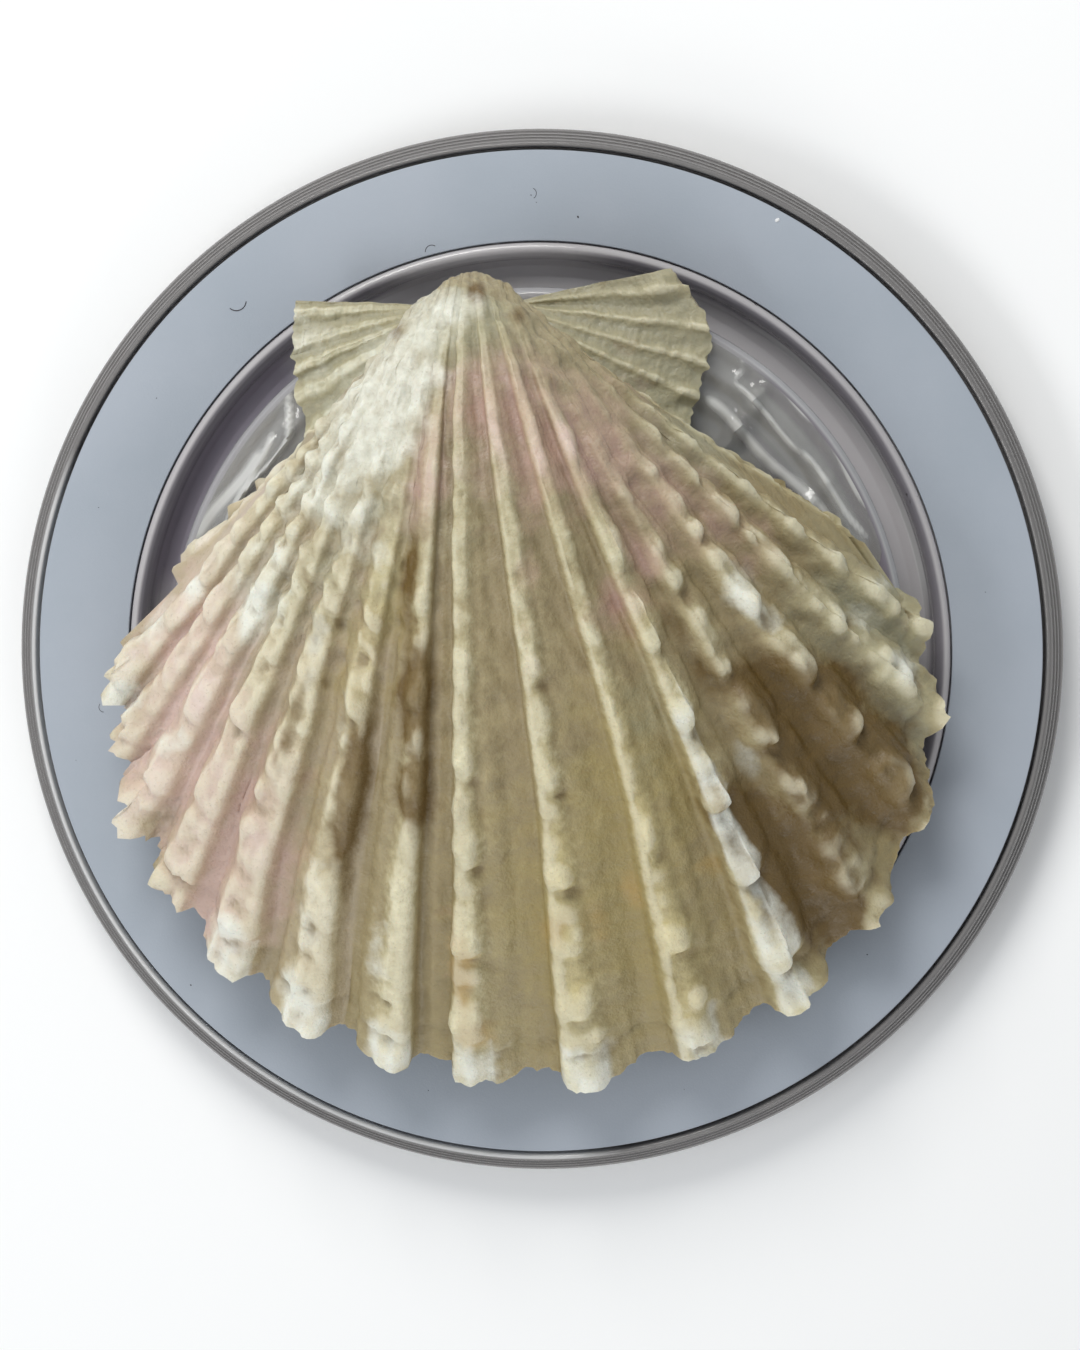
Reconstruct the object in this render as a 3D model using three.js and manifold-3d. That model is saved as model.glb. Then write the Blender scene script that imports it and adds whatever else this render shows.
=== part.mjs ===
// One valve of a scallop, glued to a clear round base that carries a white ring.
// Millimetres, +Z up. The origin is the centre of the base's underside, and +Y runs towards the shell's hinge.
import * as THREE from "three";
import { mergeVertices } from "three/addons/utils/BufferGeometryUtils.js";
import Module from "manifold-3d";

const wasm = await Module();
wasm.setup();

// ---- Base: a shallow clear tray, the white ring in its pocket, and a clear plate on a short stem ----

const ROUND_STEPS = 80;

const RING = { outer: 28, inner: 23, thickness: 0.9, floor: 2.4, side_gap: 0.3 };
const TRAY = { radius: 29.2, height: 3.4, bevel: 0.3, lip: 0.6, well_floor: 1.2 };
const PLATE = { radius: 20.4, top_radius: 19.4, top: 6.2, shoulder: 5.4, underside: 4.4, bevel: 0.6 };
const STEM = { radius: 10, foot_radius: 13, foot_height: 0.7, flare: 0.8 };

// ---- Shell: sizes seen from above, measured from the beak, x to the right and y towards the hinge ----

const BEAK = { x: -3.6, y: 19.35 };
const LIFT = 0.1; // between the plate and the lowest point of the shell
const WALL = { middle: 1.1, margin: 0.8, thin_until: 0.25 };
const COIL = { turn_deg: 37, tighter: 0.35, most_deg: 165 }; // the turn about the hinge for each e-fold of growth
const GROWTH_ROWS = 14;
const FIRST_GROWTH = 0.05; // size of the shell at the blunt tip of the beak, as a share of its size now

const DISC = { x: 3.1, y: -22.5, half_width: 21.8, half_height: 18.9, from_deg: -101, to_deg: 112 };
const RIB_BEARINGS_DEG = [-96, -86, -75, -62, -49, -34.5, -20.5, -7, 8.5, 25, 42, 59.5, 77, 93, 106];
const RIB_HEIGHT = 1.4;
const LOBE = 0.8; // how far a rib's end stands out of the margin, past the furrow beside it

const LEFT_EAR = [[-9.5, 0.3], [-9.6, -2.2], [-9.4, -4.6], [-8.6, -7.6]];
const LEFT_FLANK = [[-8, -8.8], [-11.7, -10.9], [-16.2, -15.2]];
const RIGHT_FLANK = [[21.6, -13], [17.3, -9.9], [12.6, -7.6]];
const RIGHT_EAR = [[11.8, -6.9], [12.6, -4.4], [13.1, -1.2], [11, 2]];
const EAR_COLUMNS = 8;
const EAR_RIB_HEIGHT = 0.4;
const FLANK_COLUMNS = 6;
const FLANK_RIB_HEIGHT = 0.8;

// ---- Glue: a plug between the plate and the inside of the shell ----

const GLUE = { x: 2.4, y: -17.3, radius: 12.5, gap: 0.3 };
const ABOVE_ALL = 60; // higher than anything here, so that a blank or a cutter reaches right through

const FINISH = {
  shell: { color: 0xd9d0b4, roughness: 0.45, metalness: 0 },
  clear: { color: 0x9a9a9c, roughness: 0.08, metalness: 0, transparent: true, opacity: 0.45 },
  ring: { color: 0xaab4c0, roughness: 0.6, metalness: 0 },
  glue: { color: 0xd8d8d0, roughness: 0.2, metalness: 0, transparent: true, opacity: 0.6 },
};

function named(name, geometry, finish) {
  const mesh = new THREE.Mesh(geometry, new THREE.MeshStandardMaterial(finish));
  mesh.name = name;
  return mesh;
}

// A solid of revolution about +Z. The profile is a list of [radius, height], from the axis round to the axis.
function turned(profile, steps = ROUND_STEPS) {
  const points = profile.map(([radius, height]) => new THREE.Vector2(radius, height));
  return new THREE.LatheGeometry(points, steps).rotateX(Math.PI / 2);
}

// A closed ring about +Z with a rectangular section.
function flatRing(inner, outer, floor, top) {
  const section = [[inner, floor], [outer, floor], [outer, top], [inner, top], [inner, floor]];
  return turned(section);
}

function trayGeometry() {
  const { radius, height, bevel, lip, well_floor } = TRAY;
  const pocketOuter = RING.outer + RING.side_gap;
  const pocketInner = RING.inner - RING.side_gap;
  const well = pocketInner - lip;
  return turned([
    [0, 0],
    [radius - bevel, 0],
    [radius, bevel],
    [radius, height - bevel],
    [radius - bevel, height],
    [pocketOuter, height],
    [pocketOuter, RING.floor],
    [pocketInner, RING.floor],
    [pocketInner, height],
    [well, height],
    [well, well_floor],
    [0, well_floor],
  ]);
}

function plateGeometry() {
  const foot = TRAY.well_floor;
  const footTop = foot + STEM.foot_height;
  return turned([
    [0, foot],
    [STEM.foot_radius, foot],
    [STEM.foot_radius, footTop],
    [STEM.radius, footTop + STEM.flare],
    [STEM.radius, PLATE.underside],
    [PLATE.radius - PLATE.bevel, PLATE.underside],
    [PLATE.radius, PLATE.underside + PLATE.bevel],
    [PLATE.radius, PLATE.shoulder],
    [PLATE.top_radius, PLATE.top],
    [0, PLATE.top],
  ]);
}

// How far round the hinge the shell's edge stood when the shell had this share of its size.
function coilAngle(growth) {
  const turn = COIL.turn_deg * Math.log(1 / growth) * (1 + COIL.tighter * (1 - growth) ** 4);
  return THREE.MathUtils.degToRad(Math.min(turn, COIL.most_deg));
}

// Where a point of the margin lay at that growth: the margin shrinks towards the beak and turns about the hinge.
function grown(column, growth) {
  const angle = coilAngle(growth);
  const reach = -growth * column.y;
  const rise = Math.max(0, reach * Math.sin(angle));
  return new THREE.Vector3(growth * column.x, -reach * Math.cos(angle), rise);
}

// Evenly spaced columns along a smooth curve through the points, ribbed like a fan that opens from the beak.
function stretch(points, count, ribHeight) {
  const curve = new THREE.SplineCurve(points.map(([x, y]) => new THREE.Vector2(x, y)));
  return Array.from({ length: count }, (_, i) => {
    const at = curve.getPoint(i / (count - 1));
    return { x: at.x, y: at.y, rib: (i % 2) * ribHeight };
  });
}

// The ribbed margin of the disc: four columns to each rib, the second and third on its crest.
function discColumns() {
  const edges = [DISC.from_deg, ...RIB_BEARINGS_DEG, DISC.to_deg];
  const columns = [];
  RIB_BEARINGS_DEG.forEach((bearing, i) => {
    const before = i === 0 ? edges[0] : (edges[i] + bearing) / 2;
    const after = i === RIB_BEARINGS_DEG.length - 1 ? edges.at(-1) : (bearing + edges[i + 2]) / 2;
    const crestStart = THREE.MathUtils.lerp(bearing, before, 0.42);
    const crestEnd = THREE.MathUtils.lerp(bearing, after, 0.42);
    columns.push([before, 0], [crestStart, 1], [crestEnd, 1], [(crestEnd + 2 * after) / 3, 0.1]);
  });
  columns.push([DISC.to_deg, 0]);
  return columns.map(([bearing, crest]) => {
    const angle = THREE.MathUtils.degToRad(bearing);
    const grow = LOBE * (crest - 0.5);
    return {
      x: DISC.x + (DISC.half_width + grow) * Math.sin(angle),
      y: DISC.y - (DISC.half_height + grow) * Math.cos(angle),
      rib: crest * RIB_HEIGHT,
    };
  });
}

function shellColumns() {
  return [
    ...stretch(LEFT_EAR, EAR_COLUMNS, EAR_RIB_HEIGHT),
    ...stretch(LEFT_FLANK, FLANK_COLUMNS, FLANK_RIB_HEIGHT),
    ...discColumns(),
    ...stretch(RIGHT_FLANK, FLANK_COLUMNS, FLANK_RIB_HEIGHT),
    ...stretch(RIGHT_EAR, EAR_COLUMNS, EAR_RIB_HEIGHT),
  ];
}

function growthRows() {
  return Array.from({ length: GROWTH_ROWS }, (_, j) => {
    return FIRST_GROWTH + (1 - FIRST_GROWTH) * (j / (GROWTH_ROWS - 1)) ** 1.2;
  });
}

// Triangles of a fan-shaped sheet with its tip last: rows run out from the tip, columns run left to right.
function sheetFaces(rows, columns) {
  const at = (j, i) => j * columns + i;
  const tip = rows * columns;
  const faces = [];
  for (let i = 0; i < columns - 1; i++) {
    faces.push([tip, at(0, i), at(0, i + 1)]);
    for (let j = 0; j < rows - 1; j++) {
      faces.push([at(j, i), at(j + 1, i), at(j + 1, i + 1)]);
      faces.push([at(j, i), at(j + 1, i + 1), at(j, i + 1)]);
    }
  }
  return faces;
}

// The sheet's edge as a loop: along the margin, in along the right hinge line, over the tip and out along the left.
function sheetEdge(rows, columns) {
  const margin = Array.from({ length: columns }, (_, i) => (rows - 1) * columns + i);
  const right = Array.from({ length: rows - 1 }, (_, j) => (rows - 2 - j) * columns + columns - 1);
  const left = Array.from({ length: rows - 1 }, (_, j) => j * columns);
  return [...margin, ...right, rows * columns, ...left];
}

function sheetGeometry(points, faces) {
  const geometry = new THREE.BufferGeometry().setFromPoints(points);
  return geometry.setIndex(faces.flat());
}

// The closed solid between an outer and an inner sheet that have the same rows and columns.
function closedBetween(outer, inner, rows, columns) {
  const faces = sheetFaces(rows, columns);
  const shift = outer.length;
  const edge = sheetEdge(rows, columns);
  const solid = [...faces, ...faces.map(([a, b, c]) => [a + shift, c + shift, b + shift])];
  edge.forEach((here, k) => {
    const next = edge[(k + 1) % edge.length];
    solid.push([next, here, here + shift], [next, here + shift, next + shift]);
  });
  return sheetGeometry([...outer, ...inner], solid);
}

// The tip closes the first row a little way past it, towards the hinge line.
function withTip(points, columns) {
  const first = points.slice(0, columns);
  const tip = first.reduce((sum, p) => sum.add(p), new THREE.Vector3()).divideScalar(columns);
  return [...points, tip];
}

function wallThickness(growth) {
  const thickness = THREE.MathUtils.lerp(WALL.middle, WALL.margin, growth);
  return thickness * Math.min(1, growth / WALL.thin_until);
}

// The valve's two faces. Ribs fade out of the inner face towards the beak, as the shell thickens behind them.
function shellSheets() {
  const columns = shellColumns();
  const rows = growthRows();
  const smooth = withTip(rows.flatMap((g) => columns.map((c) => grown(c, g))), columns.length);
  const skin = sheetGeometry(smooth, sheetFaces(rows.length, columns.length));
  skin.computeVertexNormals();
  const normals = skin.getAttribute("normal");
  const offset = (point, k, distance) => {
    return point.clone().addScaledVector(new THREE.Vector3().fromBufferAttribute(normals, k), distance);
  };
  const outer = [];
  const inner = [];
  rows.forEach((growth, j) => {
    columns.forEach((column, i) => {
      const k = j * columns.length + i;
      const rib = column.rib * growth;
      const ribInside = rib * THREE.MathUtils.smoothstep(growth, 0.5, 1);
      outer.push(offset(smooth[k], k, rib));
      inner.push(offset(smooth[k], k, ribInside - wallThickness(growth)));
    });
  });
  return {
    rows: rows.length,
    columns: columns.length,
    outer: withTip(outer, columns.length),
    inner: withTip(inner, columns.length),
  };
}

function solidOf(geometry) {
  const bare = geometry.clone();
  bare.deleteAttribute("normal");
  bare.deleteAttribute("uv");
  const merged = mergeVertices(bare, 1e-4);
  const mesh = new wasm.Mesh({
    numProp: 3,
    vertProperties: new Float32Array(merged.getAttribute("position").array),
    triVerts: new Uint32Array(merged.index.array),
  });
  return new wasm.Manifold(mesh);
}

function geometryOf(solid) {
  const mesh = solid.getMesh();
  const geometry = new THREE.BufferGeometry();
  const points = new Float32Array(mesh.numVert * 3);
  for (let i = 0; i < mesh.numVert; i++) {
    points.set(mesh.vertProperties.subarray(i * mesh.numProp, i * mesh.numProp + 3), i * 3);
  }
  geometry.setAttribute("position", new THREE.BufferAttribute(points, 3));
  return geometry.setIndex(new THREE.BufferAttribute(mesh.triVerts, 1));
}

const sheets = shellSheets();
const lowest = Math.min(...sheets.inner.map((p) => p.z), ...sheets.outer.map((p) => p.z));
const shellHeight = PLATE.top + LIFT - lowest;

// The glue fills a round patch from the plate up to a small gap under the shell's inner face.
function glueGeometry() {
  const { rows, columns, inner } = sheets;
  const ceiling = inner.map((p) => p.clone().setZ(p.z - GLUE.gap));
  const sky = inner.map((p) => p.clone().setZ(p.z + ABOVE_ALL));
  const above = closedBetween(sky, ceiling, rows, columns).translate(BEAK.x, BEAK.y, shellHeight);
  const blank = turned([
    [0, PLATE.top],
    [GLUE.radius, PLATE.top],
    [GLUE.radius, ABOVE_ALL / 2],
    [0, ABOVE_ALL / 2],
  ], ROUND_STEPS / 2).translate(BEAK.x + GLUE.x, BEAK.y + GLUE.y, 0);
  return geometryOf(solidOf(blank).subtract(solidOf(above)));
}

const scallop = new THREE.Group();

const ringTop = RING.floor + RING.thickness;
scallop.add(named("base_tray", trayGeometry(), FINISH.clear));
scallop.add(named("white_ring", flatRing(RING.inner, RING.outer, RING.floor, ringTop), FINISH.ring));
scallop.add(named("top_plate", plateGeometry(), FINISH.clear));
scallop.add(named("glue_plug", glueGeometry(), FINISH.glue));

const shellSolid = closedBetween(sheets.outer, sheets.inner, sheets.rows, sheets.columns);
const shell = named("scallop_shell", shellSolid, FINISH.shell);
shell.position.set(BEAK.x, BEAK.y, shellHeight);
scallop.add(shell);

export default scallop;
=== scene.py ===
import math

import bpy
import numpy as np
from mathutils import Matrix, Vector


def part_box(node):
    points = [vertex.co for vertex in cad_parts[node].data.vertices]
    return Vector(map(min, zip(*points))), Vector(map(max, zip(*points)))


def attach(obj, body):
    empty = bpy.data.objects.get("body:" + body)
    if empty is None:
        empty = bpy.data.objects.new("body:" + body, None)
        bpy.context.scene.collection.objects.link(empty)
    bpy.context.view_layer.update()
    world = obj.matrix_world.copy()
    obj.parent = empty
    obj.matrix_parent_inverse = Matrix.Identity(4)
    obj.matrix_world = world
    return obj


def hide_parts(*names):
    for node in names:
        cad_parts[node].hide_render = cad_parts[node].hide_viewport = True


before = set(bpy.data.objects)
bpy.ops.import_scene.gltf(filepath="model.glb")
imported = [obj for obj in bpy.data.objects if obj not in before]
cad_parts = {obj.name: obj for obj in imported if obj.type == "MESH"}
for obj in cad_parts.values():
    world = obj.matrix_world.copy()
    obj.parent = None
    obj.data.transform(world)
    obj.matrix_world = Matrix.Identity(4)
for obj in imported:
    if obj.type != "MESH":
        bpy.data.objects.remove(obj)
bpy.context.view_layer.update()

MM = 0.001

# ----------------------------------------------------------------------------
# Base tray. A round dish moulded in clear, smoky plastic: a flange with a shallow pocket for the ring, and a
# well in the middle. It is polished all over; the wall outside the ring is stepped by fine turned grooves.
# ----------------------------------------------------------------------------

tray_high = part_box("base_tray")[1]
ring_low, ring_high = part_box("white_ring")
TRAY_RADIUS = tray_high.x / MM
TRAY_HEIGHT = tray_high.z / MM
RING_OUTER = ring_high.x / MM
RING_INNER = 23.0
RING_FLOOR = ring_low.z / MM
RING_TOP = ring_high.z / MM
WELL_RADIUS = 22.1
WELL_FLOOR = 1.2
TURNED_STEPS = 256
BAND_FADE_DEG = 7
CLEAR_IOR = 1.49
SMOKE = (0.5, 0.49, 0.52, 1)


def soft_corners(corners, cut, steps=3):
    """The outline with each inner corner replaced by a small arc that starts this far from it."""
    corners = [Vector(c) for c in corners]
    outline = [corners[0]]
    for before, corner, after in zip(corners, corners[1:], corners[2:]):
        start = corner + (before - corner).normalized() * min(cut, 0.45 * (before - corner).length)
        end = corner + (after - corner).normalized() * min(cut, 0.45 * (after - corner).length)
        for k in range(steps + 1):
            t = k / steps
            outline.append(start.lerp(corner, t).lerp(corner.lerp(end, t), t))
    return outline + [corners[-1]]


def new_piece(name, points, faces, sharp_deg=35):
    """An object from points in millimetres, smooth except along edges sharper than the given angle."""
    mesh = bpy.data.meshes.new(name)
    mesh.from_pydata((np.asarray(points, float) * MM).tolist(), [], faces)
    mesh.update()
    mesh.shade_smooth()
    mesh.set_sharp_from_angle(angle=math.radians(sharp_deg))
    piece = bpy.data.objects.new(name, mesh)
    bpy.context.scene.collection.objects.link(piece)
    return piece


def turned(name, outline, steps=TURNED_STEPS):
    """A solid of revolution about Z; its outline runs up the outer side, from axis to axis or in a loop."""
    closed = (Vector(outline[0]) - Vector(outline[-1])).length < 1e-9
    rings = outline[:-1] if closed else outline[1:-1]
    angles = np.linspace(0, 2 * math.pi, steps, endpoint=False)
    points = [(r * math.cos(a), r * math.sin(a), z) for r, z in rings for a in angles]
    faces = []
    rows = len(rings)
    for j in range(rows if closed else rows - 1):
        low, high = j * steps, (j + 1) % rows * steps
        faces += [(low + i, low + (i + 1) % steps, high + (i + 1) % steps, high + i) for i in range(steps)]
    if not closed:
        bottom, top, last = len(points), len(points) + 1, (rows - 1) * steps
        points += [(0, 0, outline[0][1]), (0, 0, outline[-1][1])]
        faces += [(bottom, (i + 1) % steps, i) for i in range(steps)]
        faces += [(top, last + i, last + (i + 1) % steps) for i in range(steps)]
    return new_piece(name, points, faces)


def paint(red, green, blue):
    """A colour given as it looks, from 0 to 255, as the linear colour that a shader needs."""
    shares = [c / 255 for c in (red, green, blue)]
    return (*[s / 12.92 if s <= 0.04045 else ((s + 0.055) / 1.055) ** 2.4 for s in shares], 1)


def wire(tree, kind, inputs=None, **settings):
    """Adds a shader node, sets its properties, and gives each named socket a value or a link."""
    node = tree.nodes.new(kind)
    for key, value in settings.items():
        setattr(node, key, value)
    for socket, value in (inputs or {}).items():
        if isinstance(value, bpy.types.NodeSocket):
            tree.links.new(value, node.inputs[socket])
        else:
            node.inputs[socket].default_value = value
    return node


def new_finish(name):
    """A material, its node tree, its surface shader and the object coordinates that its patterns read."""
    finish = bpy.data.materials.new(name)
    finish.use_nodes = True
    tree = finish.node_tree
    return finish, tree, tree.nodes["Principled BSDF"], wire(tree, "ShaderNodeTexCoord").outputs["Object"]


def speckle(tree, coords, size_mm, detail=3.0):
    """Soft noise with features of about this size."""
    settings = {"Vector": coords, "Scale": 1 / (size_mm * MM), "Detail": detail}
    return wire(tree, "ShaderNodeTexNoise", settings).outputs["Fac"]


def spread(tree, value, start, end, low=0.0, high=1.0):
    """The value, stretched so that start to end becomes low to high, and clamped there."""
    settings = {"Value": value, "From Min": start, "From Max": end, "To Min": low, "To Max": high}
    return wire(tree, "ShaderNodeMapRange", settings).outputs["Result"]


def mixed(tree, factor, below, above):
    """One colour laid over another, as strongly as the factor says."""
    return wire(tree, "ShaderNodeMix", {0: factor, 6: below, 7: above}, data_type="RGBA").outputs[2]


def reckoned(tree, operation, *terms):
    """The result of one sum on one or two numbers."""
    return wire(tree, "ShaderNodeMath", dict(enumerate(terms)), operation=operation).outputs[0]


def clear_plastic(name, tint, clarity, absorbing, scuff_mm, edge_tint=None, bands=()):
    """Clear plastic: faint scuffs, haze, and a grey cast that deepens with thickness and at the rim.

    A band is an arc of painted shade or painted highlight with its own tint, given as its radius and half
    width in mm, its bearing from +Y and half angle in degrees, and the tint.
    """
    finish, tree, surface, coords = new_finish(name)
    surface.inputs["Transmission Weight"].default_value = clarity
    surface.inputs["IOR"].default_value = CLEAR_IOR
    surface.inputs["Base Color"].default_value = tint
    level = wire(tree, "ShaderNodeVectorMath", {0: coords, 1: (1, 1, 0)}, operation="MULTIPLY").outputs[0]
    off_axis = wire(tree, "ShaderNodeVectorMath", {0: level}, operation="LENGTH").outputs["Value"]
    towards = wire(tree, "ShaderNodeVectorMath", {0: level}, operation="NORMALIZE").outputs[0]
    outer = spread(tree, off_axis, (RING_INNER + 1) * MM, (RING_OUTER - 1) * MM)
    shade = mixed(tree, outer, tint, edge_tint or tint)
    # Each band lays painted shade or a painted highlight over the plastic's tint.
    for radius, half_width, bearing_deg, half_deg, band_tint in bands:
        bearing = math.radians(bearing_deg)
        aim = {0: towards, 1: (math.sin(bearing), math.cos(bearing), 0)}
        facing = wire(tree, "ShaderNodeVectorMath", aim, operation="DOT_PRODUCT").outputs["Value"]
        faded, full = math.cos(math.radians(half_deg + BAND_FADE_DEG)), math.cos(math.radians(half_deg))
        inside = spread(tree, facing, faded, full)
        gap = reckoned(tree, "ABSOLUTE", reckoned(tree, "SUBTRACT", off_axis, radius * MM))
        near = spread(tree, gap, half_width * MM, half_width * 0.6 * MM)
        shade = mixed(tree, reckoned(tree, "MULTIPLY", near, inside), shade, band_tint)
    tree.links.new(shade, surface.inputs["Base Color"])
    scuffs = speckle(tree, coords, scuff_mm, 6)
    tree.links.new(spread(tree, scuffs, 0.45, 0.75, 0.02, 0.16), surface.inputs["Roughness"])
    ripple = wire(tree, "ShaderNodeBump", {"Strength": 0.12, "Distance": 0.0002, "Height": scuffs})
    tree.links.new(ripple.outputs["Normal"], surface.inputs["Normal"])
    smoke = wire(tree, "ShaderNodeVolumeAbsorption")
    smoke.inputs["Color"].default_value = SMOKE
    smoke.inputs["Density"].default_value = absorbing
    tree.links.new(smoke.outputs["Volume"], tree.nodes["Material Output"].inputs["Volume"])
    return finish


tray = turned("base_tray_clear", soft_corners([
    (0, 0),
    (TRAY_RADIUS - 0.35, 0),
    (TRAY_RADIUS, 0.35),
    (TRAY_RADIUS, 1.0),
    (TRAY_RADIUS - 0.12, 1.1),
    (TRAY_RADIUS, 1.25),
    (TRAY_RADIUS, 2.4),
    (TRAY_RADIUS - 0.14, 2.6),
    (TRAY_RADIUS - 0.2, 2.56),
    (TRAY_RADIUS - 0.32, 2.86),
    (TRAY_RADIUS - 0.38, 2.8),
    (TRAY_RADIUS - 0.5, 3.1),
    (TRAY_RADIUS - 0.56, 3.04),
    (TRAY_RADIUS - 0.68, TRAY_HEIGHT - 0.08),
    (TRAY_RADIUS - 0.74, TRAY_HEIGHT - 0.12),
    (TRAY_RADIUS - 0.82, TRAY_HEIGHT),
    (RING_OUTER + 0.22, TRAY_HEIGHT - 0.04),
    (RING_OUTER + 0.15, RING_FLOOR),
    (RING_INNER - 0.08, RING_FLOOR),
    (RING_INNER - 0.1, TRAY_HEIGHT - 0.2),
    (RING_INNER - 0.25, TRAY_HEIGHT - 0.04),
    (RING_INNER - 0.45, TRAY_HEIGHT),
    (RING_INNER - 0.65, TRAY_HEIGHT - 0.1),
    (RING_INNER - 0.85, TRAY_HEIGHT - 0.35),
    (RING_INNER - 0.95, TRAY_HEIGHT - 0.8),
    (WELL_RADIUS - 0.1, WELL_FLOOR + 0.9),
    (WELL_RADIUS - 0.4, WELL_FLOOR + 0.25),
    (WELL_RADIUS - 1.0, WELL_FLOOR),
    (0, WELL_FLOOR),
], 0.08))
# Painted light on the tray: painted highlights along the well's edge on the right and along the ring's outer
# edge at the lower left, painted shade on both sides of the lip, and a painted shadow in the gap under the
# plate's edge on the upper left.
HIGHLIGHT_PALE = paint(250, 250, 250)
SHADE_PURPLE = paint(182, 174, 187)
LIP_SHADE = paint(160, 156, 163)
TRAY_SHADE_AND_HIGHLIGHT_BANDS = [
    (22.2, 0.42, 72, 60, LIP_SHADE),
    (22.2, 0.42, -85, 60, LIP_SHADE),
    (21.8, 0.2, 58, 20, HIGHLIGHT_PALE),
    (21.3, 1.0, -60, 17, SHADE_PURPLE),
    (RING_OUTER + 0.2, 0.3, -128, 55, HIGHLIGHT_PALE),
]
smoky_tray = clear_plastic(
    "smoky_tray", paint(230, 226, 228), 0.42, 45, 1.6, paint(152, 149, 148), TRAY_SHADE_AND_HIGHLIGHT_BANDS)
tray.data.materials.append(smoky_tray)
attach(tray, "root")
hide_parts("base_tray")

# ----------------------------------------------------------------------------
# Ring. A flat band with a matt, pale blue-grey face, cut from sheet and laid in the tray's pocket.
# Its colour is slightly uneven, and its cut edges are barely rounded.
# ----------------------------------------------------------------------------

RING_LIFT = 0.02  # keeps its back just off the pocket's floor


def matt_band():
    """Matt, pale blue-grey paint, slightly cloudy, with a fine tooth."""
    finish, tree, surface, coords = new_finish("matt_band")
    cloud = speckle(tree, coords, 9, 4)
    grain = speckle(tree, coords, 0.12, 2)
    shade = mixed(tree, spread(tree, cloud, 0.35, 0.65), paint(160, 168, 178), paint(167, 174, 184))
    tree.links.new(shade, surface.inputs["Base Color"])
    tree.links.new(spread(tree, grain, 0.3, 0.7, 0.5, 0.66), surface.inputs["Roughness"])
    tooth = wire(tree, "ShaderNodeBump", {"Strength": 0.25, "Distance": 0.00003, "Height": grain})
    tree.links.new(tooth.outputs["Normal"], surface.inputs["Normal"])
    return finish


ring_floor = RING_FLOOR + RING_LIFT
ring = turned("white_ring_band", soft_corners([
    (RING_INNER + 1, ring_floor),
    (RING_OUTER, ring_floor),
    (RING_OUTER, RING_TOP),
    (RING_INNER, RING_TOP),
    (RING_INNER, ring_floor),
    (RING_INNER + 1, ring_floor),
], 0.06))
ring.data.materials.append(matt_band())
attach(ring, "root")
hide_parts("white_ring")

# ----------------------------------------------------------------------------
# Dust on the ring. Dark specks, one white flake at the outer edge, and a few short curled hairs that lie on
# the matt face. Each is set on a point that carries its size and turn.
# ----------------------------------------------------------------------------

LINT_LIFT = 0.005  # how far the dust's middle lies over the ring
SPECKS = [  # x, y and size, in mm
    (2.2, 24.3, 0.14), (-0.4, 25.5, 0.08), (-0.1, 25.1, 0.06), (12.0, 19.5, 0.1), (-14.9, 12.7, 0.12),
    (20.4, 9.0, 0.13), (-19.6, -18.7, 0.1), (-21.3, 14.3, 0.07), (-24.6, 8.2, 0.06), (18.4, -16.7, 0.08),
    (-6.2, -24.6, 0.06), (24.8, 3.6, 0.06), (8.2, -24.4, 0.05), (-26.0, -6.0, 0.05),
]
HAIRS = [  # x, y, size in mm and turn in degrees
    (-5.9, 22.4, 0.36, 57), (-16.8, 19.7, 0.55, -130), (-0.4, 25.6, 0.3, -60), (20.9, 8.6, 0.3, 70),
    (-24.4, -3.0, 0.28, 140),
]
FLAKES = [(13.2, 24.1, 0.3)]


def points_object(name, rows):
    """An object whose loose points carry each row's size and turn; a grain's turn just follows its x."""
    mesh = bpy.data.meshes.new(name)
    mesh.from_pydata([(row[0] * MM, row[1] * MM, (RING_TOP + LINT_LIFT) * MM) for row in rows], [], [])
    sizes = [row[2] * MM for row in rows]
    turns = [math.radians(row[3]) if len(row) > 3 else row[0] for row in rows]
    for key, values in (("size", sizes), ("turn", turns)):
        layer = mesh.attributes.new(key, "FLOAT", "POINT")
        layer.data.foreach_set("value", np.array(values, np.float32))
    holder = bpy.data.objects.new(name, mesh)
    bpy.context.scene.collection.objects.link(holder)
    return holder


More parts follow.
